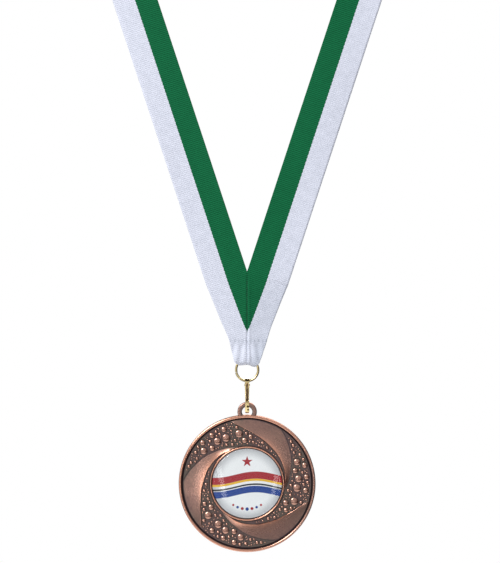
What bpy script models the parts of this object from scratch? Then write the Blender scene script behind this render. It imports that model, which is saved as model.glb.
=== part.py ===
"""A sports finisher medal hanging from its neck ribbon.

Metres, +Z up, the wearer faces -Y. The origin is where the ribbon's inner
face rests on the nape. Every shape is drawn about the medal's centre, and
hang() puts it in its place under the nape.

The chain, from the top: a woven ribbon worn as a loop, mitred and sewn into
a V, its lower end folded round a jump ring; a strip clip with a pinned
gate on the ring; the cast medal's eyelet in the clip; a domed insert
glued in the medal's seat.
"""
import math

import bmesh
import bpy
from mathutils import Matrix, Quaternion, Vector

MM = 0.001

# Where the nape is, from the medal's centre.
NAPE_BEHIND = 144.4 * MM
NAPE_ABOVE = 284.6 * MM

# Ribbon: a 16 mm tape. The two legs rise from the V's apex at this lean.
TAPE_WIDTH = 15.8 * MM
TAPE_T = 0.45 * MM
LEG_LEAN = math.radians(18.24)
LEG_LENGTH = 380.0 * MM
LEG_Y = -0.3 * MM
APEX_Z = 77.5 * MM
# Each bend of the leg: total turn, middle and half length along the leg.
SHOULDER_BEND = (math.radians(90.85), 210 * MM, 62 * MM)
SHOULDER_TWIST = (math.radians(79.42), 265 * MM, 105 * MM)
NAPE_BEND = (math.radians(159.85), LEG_LENGTH, 150 * MM)
ROUTE_STEP = 1.0 * MM
LEG_ROW_EVERY = 9
TAPE_COLUMNS = 4

# The V below the apex: half widths at hand-chosen heights, down to the fold.
V_OUTLINE = ((72.56, 15.0), (66.5, 12.5), (59.8, 9.8), (53.7, 7.1),
             (51.4, 6.35), (47.6, 5.45), (45.0, 4.8))
HEM_Z = 52.0 * MM
FLAP_Y = 0.2 * MM
TUNNEL_TOP_Z = 51.2 * MM
FOLD_SIDE_Z = 45.0 * MM
FOLD_BOTTOM_Z = 43.37 * MM
FOLD_DEPTH = 1.75 * MM
FOLD_SIDE_HALF = 4.8 * MM
FOLD_BOTTOM_HALF = 2.85 * MM
FOLD_ROWS = 10
PANEL_ROW_ZS = (74.5, 71.0, 67.0, 63.0, 59.5, 56.5, 54.0, 51.8, 50.0, 48.5, 47.0, 46.0)
FLAP_ROW_ZS = (46.0, 47.0, 48.5, 50.0, 51.8, 53.2)

# Sewing: a needle thread on the front and a bobbin thread on the back.
THREAD_R = 0.11 * MM
THREAD_GAP = 0.03 * MM
STITCH_RISE = 0.06 * MM
HEM_STITCHES = 8
HEM_STITCH_PITCH = 1.45 * MM
SEAM_STITCHES = 10
SEAM_STITCH_PITCH = 2.3 * MM
SEAM_LOW_Z = 53.9 * MM

# Jump ring: round wire with a butt joint.
RING_Z = 41.47 * MM
RING_MEAN_R = 4.055 * MM
WIRE_R = 0.45 * MM
RING_JOINT_ANGLE = math.radians(193)
RING_JOINT_GAP = 0.06 * MM
RING_SEGMENTS = 56
RING_PIVOT_Z = 44.26 * MM

# Clip: a strip bent edge-on, closed by a pinned gate on the front.
STRIP_WIDTH = 1.65 * MM
STRIP_T = 0.5 * MM
CLIP_DEPTH = 2.35 * MM
CLIP_TOP_BEND = (37.12 * MM, 1.1 * MM, math.radians(35))
CLIP_FOOT_BEND = (26.73 * MM, 0.85 * MM, math.radians(21.5))
CLIP_ELBOW_R = 2.0 * MM
BEND_STEP = math.radians(7)
LUG_END_Z = 34.9 * MM
NOSE_END_Z = 30.3 * MM
PIN_Y = -2.09 * MM
PIN_Z = 36.05 * MM
PIN_R = 0.25 * MM
PIN_BORE_R = 0.28 * MM
PIN_HEAD_R = 0.42 * MM
PIN_HEAD_T = 0.14 * MM
PIN_HEAD_CHAMFER = 0.06 * MM
PIN_HEAD_GAP = 0.04 * MM
EAR_R = 0.62 * MM
SLOT_SIZE = (0.8 * MM, 2.4 * MM, 1.55 * MM)
SLOT_SHIFT = (0.1 * MM, -0.15 * MM)
KNUCKLE_R = 0.48 * MM
KNUCKLE_WIDTH = 0.7 * MM
GATE_WIDTH = 1.35 * MM
GATE_T = 0.35 * MM
GATE_SHOULDER_Z = 35.2 * MM
GATE_TIP_Z = 30.0 * MM
GATE_TOP_Y = -2.05 * MM
GATE_TIP_Y = -1.89 * MM
NECK_FOOT_Y = -2.03 * MM
NECK_TOP_Z = 35.75 * MM
NECK_FOOT_Z = 34.7 * MM

# Medal: a cast disc with a rim, a sunk field, a seat ring and an eyelet.
MEDAL_R = 25.0 * MM
MEDAL_HALF_T = 1.5 * MM
RIM_WIDTH = 1.0 * MM
GROOVE_WIDTH = 0.50 * MM
GROOVE_DEPTH = 0.95 * MM
FIELD_DEPTH = 0.7 * MM
SEAT_RING_OUTER_R = 13.65 * MM
SEAT_RING_INNER_R = 13.0 * MM
SEAT_RING_DROP = 0.1 * MM
SEAT_DEPTH = 0.9 * MM
EDGE_ROUND = 0.25 * MM
MEDAL_STEPS = 96
EYELET_Z = 26.13 * MM
EYELET_R = 3.55 * MM
EYELET_HOLE_R = 1.9 * MM
EYELET_HALF_T = 1.05 * MM
MEDAL_PIVOT_Z = 27.0 * MM

# Insert stack in the seat, from its floor forwards.
STACK_GAP = 0.05 * MM
ADHESIVE_R = 12.2 * MM
ADHESIVE_T = 0.1 * MM
PRINT_R = 12.7 * MM
PRINT_T = 0.3 * MM
DOME_R = 12.6 * MM
DOME_EDGE_T = 0.45 * MM
DOME_HEIGHT = 1.3 * MM
INSERT_STEPS = 64

COLOURS = {
    "white_green_tape": ((0.62, 0.72, 0.66), 0.85, 0.0),
    "white_thread": ((0.75, 0.77, 0.78), 0.8, 0.0),
    "gold_plate": ((0.66, 0.52, 0.24), 0.25, 1.0),
    "antique_copper": ((0.46, 0.25, 0.17), 0.4, 1.0),
    "adhesive": ((0.85, 0.84, 0.78), 0.6, 0.0),
    "print": ((0.8, 0.82, 0.84), 0.45, 0.0),
    "clear_epoxy": ((0.9, 0.93, 0.95), 0.05, 0.0),
}


def make_material(name):
    colour, roughness, metallic = COLOURS[name]
    material = bpy.data.materials.new(name)
    material.use_nodes = True
    shader = material.node_tree.nodes["Principled BSDF"]
    shader.inputs["Base Color"].default_value = (*colour, 1.0)
    shader.inputs["Roughness"].default_value = roughness
    shader.inputs["Metallic"].default_value = metallic
    return material


def hang(obj, y=0.0, z=0.0):
    """Places an object at a point given from the medal's centre."""
    obj.location = (0.0, y - NAPE_BEHIND, z - NAPE_ABOVE)
    return obj


def make_pivot(name, y, z, collection):
    """An empty on a joint's axis."""
    pivot = bpy.data.objects.new(name, None)
    pivot.empty_display_size = 2 * MM
    collection.objects.link(pivot)
    return hang(pivot, y, z)


def attach(obj, pivot, y=0.0, z=0.0):
    """Parents an object to a pivot and places it from the medal's centre."""
    hang(obj, y, z)
    obj.location -= pivot.location
    obj.parent = pivot
    return obj


def add_object(name, mesh, collection, material=None):
    obj = bpy.data.objects.new(name, mesh)
    collection.objects.link(obj)
    if material:
        mesh.materials.append(material)
    mesh.shade_smooth()
    mesh.set_sharp_from_angle(angle=math.radians(35))
    return obj


def add_cutter(name, mesh, collection):
    """An operand of a Boolean, kept out of sight."""
    obj = add_object(name, mesh, collection)
    obj.hide_render = True
    obj.display_type = "WIRE"
    return obj


def combine(obj, operand, operation):
    modifier = obj.modifiers.new(operand.name, "BOOLEAN")
    modifier.operation = operation
    modifier.solver = "EXACT"
    modifier.object = operand


def finished_mesh(bm, name):
    mesh = bpy.data.meshes.new(name)
    bm.to_mesh(mesh)
    bm.free()
    return mesh


def cylinder_mesh(name, radius, length, axis, centre=(0.0, 0.0, 0.0), segments=32):
    """A closed cylinder along X, Y or Z."""
    turn = {"X": Matrix.Rotation(math.pi / 2, 4, "Y"),
            "Y": Matrix.Rotation(math.pi / 2, 4, "X"),
            "Z": Matrix.Identity(4)}[axis]
    bm = bmesh.new()
    bmesh.ops.create_cone(bm, cap_ends=True, segments=segments, radius1=radius,
                          radius2=radius, depth=length,
                          matrix=Matrix.Translation(centre) @ turn)
    return finished_mesh(bm, name)


def box_mesh(name, size, centre):
    bm = bmesh.new()
    bmesh.ops.create_cube(bm, size=1.0, matrix=Matrix.Translation(centre) @ Matrix.Diagonal((*size, 1)))
    return finished_mesh(bm, name)


def turned_object(name, profile, steps, collection, material):
    """Turns (radius, height) points, given top to bottom, about local Z."""
    bm = bmesh.new()
    points = [bm.verts.new((radius, 0.0, height)) for radius, height in profile]
    for first, second in zip(points, points[1:]):
        bm.edges.new((first, second))
    obj = add_object(name, finished_mesh(bm, name), collection, material)
    screw = obj.modifiers.new("turn", "SCREW")
    screw.steps = steps
    screw.render_steps = steps
    screw.use_merge_vertices = True
    screw.merge_threshold = 0.00001
    return obj


def extruded_mesh(name, outline, width):
    """A flat (y, z) outline, filled at millimetre scale and extruded along X."""
    curve = bpy.data.curves.new(name, "CURVE")
    curve.dimensions = "2D"
    curve.fill_mode = "BOTH"
    curve.extrude = width / 2 / MM
    spline = curve.splines.new("POLY")
    spline.points.add(len(outline) - 1)
    for point, (y, z) in zip(spline.points, outline):
        point.co = (y / MM, z / MM, 0.0, 1.0)
    spline.use_cyclic_u = True
    flat = bpy.data.objects.new(name + "_outline", curve)
    bpy.context.scene.collection.objects.link(flat)
    mesh = bpy.data.meshes.new_from_object(
        flat.evaluated_get(bpy.context.evaluated_depsgraph_get()))
    bpy.data.objects.remove(flat)
    bpy.data.curves.remove(curve)
    bm = bmesh.new()
    bm.from_mesh(mesh)
    bpy.data.meshes.remove(mesh)
    bmesh.ops.remove_doubles(bm, verts=bm.verts, dist=0.001)
    upright = Matrix(((0, 0, 1, 0), (1, 0, 0, 0), (0, 1, 0, 0), (0, 0, 0, 1)))
    bmesh.ops.transform(bm, matrix=Matrix.Scale(MM, 4) @ upright, verts=bm.verts)
    bmesh.ops.recalc_face_normals(bm, faces=bm.faces)
    return finished_mesh(bm, name)


# ---- ribbon -------------------------------------------------------------

def swell(place, middle, half_length):
    """A smooth bump along the leg whose whole area is one."""
    reach = (place - middle) / half_length
    if abs(reach) >= 1:
        return 0.0
    return 0.5 * (1 + math.cos(math.pi * reach)) / half_length


def leg_route():
    """The right leg's frames (centre, along, face), from the apex to the nape."""
    along = Vector((math.sin(LEG_LEAN), 0, math.cos(LEG_LEAN)))
    face = Vector((0, -1, 0))
    across = along.cross(face)
    centre = Vector((0, LEG_Y, APEX_Z)) + across * TAPE_WIDTH / 2
    route = [(centre.copy(), along.copy(), face.copy())]
    for step in range(round(LEG_LENGTH / ROUTE_STEP)):
        place = (step + 0.5) * ROUTE_STEP
        bend = sum(turn * swell(place, middle, half)
                   for turn, middle, half in (SHOULDER_BEND, NAPE_BEND))
        twist = SHOULDER_TWIST[0] * swell(place, *SHOULDER_TWIST[1:])
        turn = (along * twist - across * bend) * ROUTE_STEP
        before = along
        if turn.length > 0:
            rotation = Quaternion(turn.normalized(), turn.length)
            along = (rotation @ along).normalized()
            face = (rotation @ face).normalized()
            across = along.cross(face)
        centre = centre + (before + along) * ROUTE_STEP / 2
        route.append((centre.copy(), along.copy(), face.copy()))
    return route


def leg_rows():
    """Rows across the leg (inner point, outer point), nape first."""
    frames = leg_route()[::LEG_ROW_EVERY]
    rows = []
    for centre, along, face in reversed(frames):
        half = along.cross(face) * TAPE_WIDTH / 2
        rows.append((centre - half, centre + half))
    nape_half = Vector((0, 0, TAPE_WIDTH / 2))
    nape = Vector((0, NAPE_BEHIND + TAPE_T / 2, NAPE_ABOVE))
    rows.insert(0, (nape + nape_half, nape - nape_half))
    return rows


def outline_half_width(z):
    """The V's half width at a height, by straight lines between its points."""
    heights = [point[0] * MM for point in V_OUTLINE]
    widths = [point[1] * MM for point in V_OUTLINE]
    if z >= heights[0]:
        return widths[0]
    for high, low, wide, narrow in zip(heights, heights[1:], widths, widths[1:]):
        if z >= low:
            return narrow + (wide - narrow) * (z - low) / (high - low)
    return widths[-1]


def bulge(z):
    """How far the tunnel has opened at a height: 0 at the hem, 1 at the fold."""
    depth = min(max((TUNNEL_TOP_Z - z) / (TUNNEL_TOP_Z - FOLD_SIDE_Z), 0.0), 1.0)
    return depth * depth * (3 - 2 * depth)


def v_rows():
    """Rows of the V below the apex: front panel, fold and back flap."""
    rows = []
    tilt = APEX_Z - V_OUTLINE[0][0] * MM
    for z in PANEL_ROW_ZS:
        inner = z * MM
        outer = inner - tilt * max(0.0, (inner - TUNNEL_TOP_Z) / (APEX_Z - TUNNEL_TOP_Z))
        y_inner = LEG_Y - (FOLD_DEPTH + LEG_Y) * bulge(inner)
        y_outer = LEG_Y - (FOLD_DEPTH + LEG_Y) * bulge(outer)
        rows.append((Vector((0, y_inner, inner)),
                     Vector((outline_half_width(outer), y_outer, outer))))
    for row in range(FOLD_ROWS + 1):
        angle = math.pi * row / FOLD_ROWS
        y = -FOLD_DEPTH * math.cos(angle)
        z = FOLD_SIDE_Z - (FOLD_SIDE_Z - FOLD_BOTTOM_Z) * math.sin(angle)
        half = FOLD_BOTTOM_HALF + (FOLD_SIDE_HALF - FOLD_BOTTOM_HALF) * math.cos(angle) ** 2
        rows.append((Vector((0, y, z)), Vector((half, y, z))))
    for z in FLAP_ROW_ZS:
        height = z * MM
        y = FLAP_Y + (FOLD_DEPTH - FLAP_Y) * bulge(height)
        half = outline_half_width(height)
        rows.append((Vector((0, y, height)), Vector((half, y, height))))
    return rows


def make_ribbon(collection, material):
    """Half of the woven loop as a loft of rows, mirrored and thickened."""
    bm = bmesh.new()
    grid = []
    for inner, outer in leg_rows() + v_rows():
        grid.append([bm.verts.new(inner.lerp(outer, column / TAPE_COLUMNS))
                     for column in range(TAPE_COLUMNS + 1)])
    for upper, lower in zip(grid, grid[1:]):
        for column in range(TAPE_COLUMNS):
            bm.faces.new((upper[column], lower[column],
                          lower[column + 1], upper[column + 1]))
    ribbon = add_object("neck_ribbon", finished_mesh(bm, "neck_ribbon"), collection, material)
    mirror = ribbon.modifiers.new("other_leg", "MIRROR")
    mirror.use_axis = (True, False, False)
    mirror.merge_threshold = 0.00002
    thickness = ribbon.modifiers.new("tape_thickness", "SOLIDIFY")
    thickness.thickness = TAPE_T
    thickness.offset = 0.0
    return hang(ribbon)


def make_thread(name, start, step, stitches, outward, collection, material):
    """A line of lockstitches: one thread that rises a little in each stitch."""
    curve = bpy.data.curves.new(name, "CURVE")
    curve.dimensions = "3D"
    curve.bevel_depth = THREAD_R
    curve.bevel_resolution = 1
    curve.use_fill_caps = True
    spline = curve.splines.new("POLY")
    spline.points.add(2 * stitches)
    for index, point in enumerate(spline.points):
        rise = Vector((0, outward * STITCH_RISE * (index % 2), 0))
        point.co = (*(start + step * index / 2 + rise), 1)
    thread = bpy.data.objects.new(name, curve)
    curve.materials.append(material)
    collection.objects.link(thread)
    hang(thread)


def make_threads(collection, material):
    """The mitre seam's two threads and the hem's two."""
    clear = TAPE_T / 2 + THREAD_R + THREAD_GAP
    seam_step = Vector((0, 0, SEAM_STITCH_PITCH))
    hem_step = Vector((HEM_STITCH_PITCH, 0, 0))
    hem_start = -HEM_STITCHES * HEM_STITCH_PITCH / 2
    for side, outward, hem_y in (("front", -1, LEG_Y), ("back", 1, FLAP_Y)):
        seam_start = Vector((0, LEG_Y + outward * clear, SEAM_LOW_Z))
        make_thread("mitre_seam_thread_" + side, seam_start, seam_step,
                    SEAM_STITCHES, outward, collection, material)
        start = Vector((hem_start, hem_y + outward * clear, HEM_Z))
        make_thread("hem_thread_" + side, start, hem_step,
                    HEM_STITCHES, outward, collection, material)


# ---- ring and clip ------------------------------------------------------

def make_ring(collection, material, pivot):
    """Round wire bent to a ring that meets end to end."""
    curve = bpy.data.curves.new("jump_ring", "CURVE")
    curve.dimensions = "3D"
    curve.bevel_depth = WIRE_R
    curve.bevel_resolution = 3
    curve.use_fill_caps = True
    spline = curve.splines.new("POLY")
    spline.points.add(RING_SEGMENTS)
    gap_angle = RING_JOINT_GAP / RING_MEAN_R
    for index, point in enumerate(spline.points):
        angle = RING_JOINT_ANGLE + gap_angle / 2
        angle += (2 * math.pi - gap_angle) * index / RING_SEGMENTS
        point.co = (RING_MEAN_R * math.cos(angle), 0, RING_MEAN_R * math.sin(angle), 1)
    ring = bpy.data.objects.new("jump_ring", curve)
    curve.materials.append(material)
    collection.objects.link(ring)
    return attach(ring, pivot, z=RING_Z)


def rounded_route(corners):
    """An open (y, z) route through corners (y, z, radius), each one filleted."""
    route = [Vector(corners[0][:2])]
    for before, corner, after in zip(corners, corners[1:], corners[2:]):
        point = Vector(corner[:2])
        back = (Vector(before[:2]) - point).normalized()
        ahead = (Vector(after[:2]) - point).normalized()
        half_angle = back.angle(ahead) / 2
        middle = (back + ahead).normalized()
        centre = point + middle * corner[2] / math.sin(half_angle)
        start = point + back * corner[2] / math.tan(half_angle) - centre
        end = point + ahead * corner[2] / math.tan(half_angle) - centre
        sweep = start.angle_signed(end)
        steps = max(3, round(abs(sweep) / BEND_STEP))
        for step in range(steps + 1):
            route.append(centre + Matrix.Rotation(-sweep * step / steps, 2) @ start)
    route.append(Vector(corners[-1][:2]))
    return route


def strip_outline(route, thickness):
    """The closed outline of a strip of even thickness along an open route."""
    left, right = [], []
    for index, point in enumerate(route):
        before = route[max(index - 1, 0)]
        after = route[min(index + 1, len(route) - 1)]
        ahead = (after - before).normalized()
        side = Vector((-ahead.y, ahead.x)) * thickness / 2
        left.append(point + side)
        right.append(point - side)
    return [tuple(point) for point in left + right[::-1]]


def clip_route():
    """The strip's middle line: lug, top bend, back, foot bend, nose."""
    top_z, top_r, top_flare = CLIP_TOP_BEND
    foot_z, foot_r, foot_flare = CLIP_FOOT_BEND
    peak_z = top_z + top_r / math.sin(top_flare)
    foot_peak_z = foot_z - foot_r / math.sin(foot_flare)
    shoulder_z = peak_z - CLIP_DEPTH / math.tan(top_flare)
    hip_z = foot_peak_z + CLIP_DEPTH / math.tan(foot_flare)
    nose_y = -(NOSE_END_Z - foot_peak_z) * math.tan(foot_flare)
    return rounded_route([
        (-CLIP_DEPTH, LUG_END_Z, 0), (-CLIP_DEPTH, shoulder_z, CLIP_ELBOW_R),
        (0, peak_z, top_r), (CLIP_DEPTH, shoulder_z, CLIP_ELBOW_R),
        (CLIP_DEPTH, hip_z, CLIP_ELBOW_R), (0, foot_peak_z, foot_r),
        (nose_y, NOSE_END_Z, 0)])


def make_clip(collection, cutters, material, pivot):
    """The bent strip with two ears, slotted and bored for the gate's pin."""
    clip = add_object("clip_body", extruded_mesh(
        "clip_body", strip_outline(clip_route(), STRIP_T), STRIP_WIDTH), collection, material)
    at_pin = (0, PIN_Y, PIN_Z)
    ears = add_cutter("clip_ears", cylinder_mesh(
        "clip_ears", EAR_R, STRIP_WIDTH, "X", at_pin), cutters)
    slot = add_cutter("clip_slot", box_mesh(
        "clip_slot", SLOT_SIZE, (0, PIN_Y + SLOT_SHIFT[0], PIN_Z + SLOT_SHIFT[1])), cutters)
    bore = add_cutter("clip_bore", cylinder_mesh(
        "clip_bore", PIN_BORE_R, 2 * STRIP_WIDTH, "X", at_pin, 24), cutters)
    for operand, operation in ((ears, "UNION"), (slot, "DIFFERENCE"), (bore, "DIFFERENCE")):
        attach(operand, pivot)
        combine(clip, operand, operation)
    return attach(clip, pivot)


def make_pin(collection, material, pivot):
    """A rivet pin with a head on each side, lying along X."""
    shank_end = STRIP_WIDTH / 2 + PIN_HEAD_GAP
    head_end = shank_end + PIN_HEAD_T
    pin = turned_object("clip_pin", [
        (0, head_end), (PIN_HEAD_R * 0.7, head_end), (PIN_HEAD_R, head_end - PIN_HEAD_CHAMFER),
        (PIN_HEAD_R, shank_end), (PIN_R, shank_end), (PIN_R, -shank_end),
        (PIN_HEAD_R, -shank_end), (PIN_HEAD_R, -head_end + PIN_HEAD_CHAMFER),
        (PIN_HEAD_R * 0.7, -head_end), (0, -head_end)], 24, collection, material)
    pin.rotation_euler = (0, math.pi / 2, 0)
    return attach(pin, pivot, PIN_Y, PIN_Z)


def make_gate(collection, cutters, material, pivot):
    """A flat tongue whose narrow neck is curled round the pin."""
    tongue = [(GATE_TOP_Y, GATE_SHOULDER_Z), (GATE_TOP_Y + GATE_T, GATE_SHOULDER_Z),
              (GATE_TIP_Y + GATE_T, GATE_TIP_Z), (GATE_TIP_Y, GATE_TIP_Z)]
    neck = [(GATE_TOP_Y, NECK_TOP_Z), (GATE_TOP_Y + GATE_T, NECK_TOP_Z),
            (GATE_TOP_Y + GATE_T, NECK_FOOT_Z), (NECK_FOOT_Y, NECK_FOOT_Z)]
    gate = add_object("clip_gate", extruded_mesh("clip_gate", tongue, GATE_WIDTH),
                      collection, material)
    operands = (
        (extruded_mesh("gate_neck", neck, KNUCKLE_WIDTH), "UNION"),
        (cylinder_mesh("gate_knuckle", KNUCKLE_R, KNUCKLE_WIDTH, "X", (0, PIN_Y, PIN_Z), 24), "UNION"),
        (cylinder_mesh("gate_bore", PIN_BORE_R, 2 * GATE_WIDTH, "X", (0, PIN_Y, PIN_Z), 24),
         "DIFFERENCE"))
    for mesh, operation in operands:
        operand = attach(add_cutter(mesh.name, mesh, cutters), pivot)
        combine(gate, operand, operation)
    return attach(gate, pivot)


# ---- medal --------------------------------------------------------------

FACE_FORWARD = (math.pi / 2, 0, 0)


def make_medal(collection, cutters, material, pivot):
    """The cast disc, turned about its middle, with its eyelet."""
    front = MEDAL_HALF_T
    rim_inner = MEDAL_R - RIM_WIDTH
    groove_inner = rim_inner - GROOVE_WIDTH
    seat_top = front - SEAT_RING_DROP
    profile = [
        (0, front - SEAT_DEPTH), (SEAT_RING_INNER_R, front - SEAT_DEPTH),
        (SEAT_RING_INNER_R, seat_top - EDGE_ROUND),
        (SEAT_RING_INNER_R + EDGE_ROUND, seat_top),
        (SEAT_RING_OUTER_R - EDGE_ROUND, seat_top),
        (SEAT_RING_OUTER_R, seat_top - EDGE_ROUND),
        (SEAT_RING_OUTER_R, front - FIELD_DEPTH), (groove_inner, front - FIELD_DEPTH),
        (groove_inner, front - GROOVE_DEPTH), (rim_inner, front - GROOVE_DEPTH),
        (rim_inner, front - EDGE_ROUND), (rim_inner + EDGE_ROUND, front),
        (MEDAL_R - EDGE_ROUND, front), (MEDAL_R, front - EDGE_ROUND),
        (MEDAL_R, EDGE_ROUND - front), (MEDAL_R - EDGE_ROUND, -front), (0, -front)]
    medal = turned_object("medal_body", profile, MEDAL_STEPS, collection, material)
    medal.rotation_euler = FACE_FORWARD
    eyelet = add_cutter("eyelet_lug", cylinder_mesh(
        "eyelet_lug", EYELET_R, 2 * EYELET_HALF_T, "Y", (0, 0, EYELET_Z), 48), cutters)
    hole = add_cutter("eyelet_hole", cylinder_mesh(
        "eyelet_hole", EYELET_HOLE_R, 4 * EYELET_HALF_T, "Y", (0, 0, EYELET_Z), 40), cutters)
    attach(hole, pivot)
    combine(eyelet, hole, "DIFFERENCE")
    attach(eyelet, pivot)
    combine(medal, eyelet, "UNION")
    return attach(medal, pivot)


def make_insert(collection, materials, pivot):
    """Adhesive, printed disc and clear dome, stacked in the seat."""
    floor = MEDAL_HALF_T - SEAT_DEPTH
    adhesive_low = floor + STACK_GAP
    adhesive_top = adhesive_low + ADHESIVE_T
    print_low = adhesive_top + STACK_GAP
    print_top = print_low + PRINT_T
    dome_low = print_top + STACK_GAP
    dome_side = dome_low + DOME_EDGE_T
    dome_rise = DOME_HEIGHT - DOME_EDGE_T
    dome = [(0.0, dome_low + DOME_HEIGHT)]
    for step in range(1, 12):
        angle = math.pi / 2 * step / 12
        dome.append((DOME_R * math.sin(angle), dome_side + dome_rise * math.cos(angle)))
    dome += [(DOME_R, dome_side), (DOME_R, dome_low), (0.0, dome_low)]
    flat = (("insert_adhesive", ADHESIVE_R, adhesive_low, adhesive_top, "adhesive"),
            ("printed_insert", PRINT_R, print_low, print_top, "print"))
    profiles = [(name, [(0, top), (radius, top), (radius, low), (0, low)], material)
                for name, radius, low, top, material in flat]
    profiles.append(("epoxy_dome", dome, "clear_epoxy"))
    for name, profile, material in profiles:
        disc = turned_object(name, profile, INSERT_STEPS, collection, materials[material])
        disc.rotation_euler = FACE_FORWARD
        attach(disc, pivot)


def main():
    for obj in list(bpy.data.objects):
        bpy.data.objects.remove(obj)
    parts = bpy.data.collections.new("finisher_medal")
    cutters = bpy.data.collections.new("cutters")
    for collection in (parts, cutters):
        bpy.context.scene.collection.children.link(collection)
    materials = {name: make_material(name) for name in COLOURS}
    gold = materials["gold_plate"]

    ring_pivot = make_pivot("ring_pivot", 0.0, RING_PIVOT_Z, parts)
    clip_pivot = make_pivot("clip_pivot", 0.0, RING_Z - RING_MEAN_R, parts)
    gate_pivot = make_pivot("gate_pivot", PIN_Y, PIN_Z, parts)
    medal_pivot = make_pivot("medal_pivot", 0.0, MEDAL_PIVOT_Z, parts)

    make_ribbon(parts, materials["white_green_tape"])
    make_threads(parts, materials["white_thread"])
    make_ring(parts, gold, ring_pivot)
    make_clip(parts, cutters, gold, clip_pivot)
    make_pin(parts, gold, clip_pivot)
    make_gate(parts, cutters, gold, gate_pivot)
    make_medal(parts, cutters, materials["antique_copper"], medal_pivot)
    make_insert(parts, materials, medal_pivot)


main()
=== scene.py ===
"""The looks of a finisher medal on its neck ribbon: woven tape, gold-plated
hardware, an antique copper casting in relief, and a domed printed insert.

Lengths in the tables are millimetres; everything placed in the scene is in
metres, in the frame's own axes: +Z up, the medal's face towards -Y.
"""
import random
from math import asin, cos, exp, hypot, pi, radians, sin

import bmesh
import bpy
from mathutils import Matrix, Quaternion, Vector


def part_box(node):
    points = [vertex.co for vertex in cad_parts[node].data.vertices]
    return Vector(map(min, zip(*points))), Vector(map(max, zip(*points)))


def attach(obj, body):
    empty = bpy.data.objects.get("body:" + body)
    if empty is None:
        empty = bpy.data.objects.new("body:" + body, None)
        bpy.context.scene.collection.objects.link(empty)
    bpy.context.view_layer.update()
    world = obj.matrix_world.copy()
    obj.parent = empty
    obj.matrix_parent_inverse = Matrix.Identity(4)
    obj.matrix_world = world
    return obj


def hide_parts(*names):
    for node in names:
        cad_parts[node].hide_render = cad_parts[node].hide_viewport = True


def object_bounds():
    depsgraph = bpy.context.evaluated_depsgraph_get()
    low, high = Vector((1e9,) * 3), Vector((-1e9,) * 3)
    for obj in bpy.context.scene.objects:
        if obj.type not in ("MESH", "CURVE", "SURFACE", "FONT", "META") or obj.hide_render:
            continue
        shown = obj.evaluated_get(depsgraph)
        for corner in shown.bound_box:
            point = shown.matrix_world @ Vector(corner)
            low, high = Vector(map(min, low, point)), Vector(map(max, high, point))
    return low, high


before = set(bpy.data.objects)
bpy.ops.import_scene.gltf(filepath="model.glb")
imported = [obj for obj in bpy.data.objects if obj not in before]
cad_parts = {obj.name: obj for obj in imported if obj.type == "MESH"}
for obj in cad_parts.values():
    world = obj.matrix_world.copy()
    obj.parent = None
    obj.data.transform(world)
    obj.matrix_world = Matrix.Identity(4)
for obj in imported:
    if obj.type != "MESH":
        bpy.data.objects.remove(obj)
cad_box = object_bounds()

MM = 0.001


def box_middle(node):
    low, high = (Vector(corner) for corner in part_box(node))
    return (low + high) / 2


# The medal's centre, on the plane that the hardware hangs in.
RING_ABOVE_CENTRE = 41.47 * MM
CENTRE = box_middle("jump_ring") - Vector((0, 0, RING_ABOVE_CENTRE))
CENTRE.x = 0.0

# ---- camera, light and floor ----

VIEW_HEIGHT = 206.0 * MM
VIEW_ACROSS = 1.05 * MM
VIEW_ABOVE_CENTRE = 73.8 * MM
LENS = 100.0
SENSOR = 36.0
VIEW_DISTANCE = VIEW_HEIGHT * LENS / SENSOR


def link_object(name, data):
    obj = bpy.data.objects.new(name, data)
    bpy.context.scene.collection.objects.link(obj)
    return obj


def make_camera():
    data = bpy.data.cameras.new("photo_view")
    data.lens = LENS
    data.sensor_width = SENSOR
    data.clip_start = 0.01
    camera = link_object("photo_view", data)
    camera.location = CENTRE + Vector((VIEW_ACROSS, -VIEW_DISTANCE, VIEW_ABOVE_CENTRE))
    camera.rotation_euler = (pi / 2, 0, 0)
    bpy.context.scene.camera = camera


def add_softbox(name, offset, aim, size, power, roll=0.0):
    """A rectangular lamp at an offset from the medal's centre, aimed at a point."""
    data = bpy.data.lights.new(name, "AREA")
    data.shape = "RECTANGLE"
    data.size, data.size_y = size
    data.energy = power
    lamp = link_object(name, data)
    lamp.location = CENTRE + Vector(offset)
    direction = CENTRE + Vector(aim) - lamp.location
    turn = Quaternion((0, 0, 1), radians(roll))
    lamp.rotation_euler = (direction.to_track_quat("-Z", "Y") @ turn).to_euler()


SKY_STRENGTH = 0.71
SKY_BRIGHT_SIDE = (-0.48, -0.36, 0.80)


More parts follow.
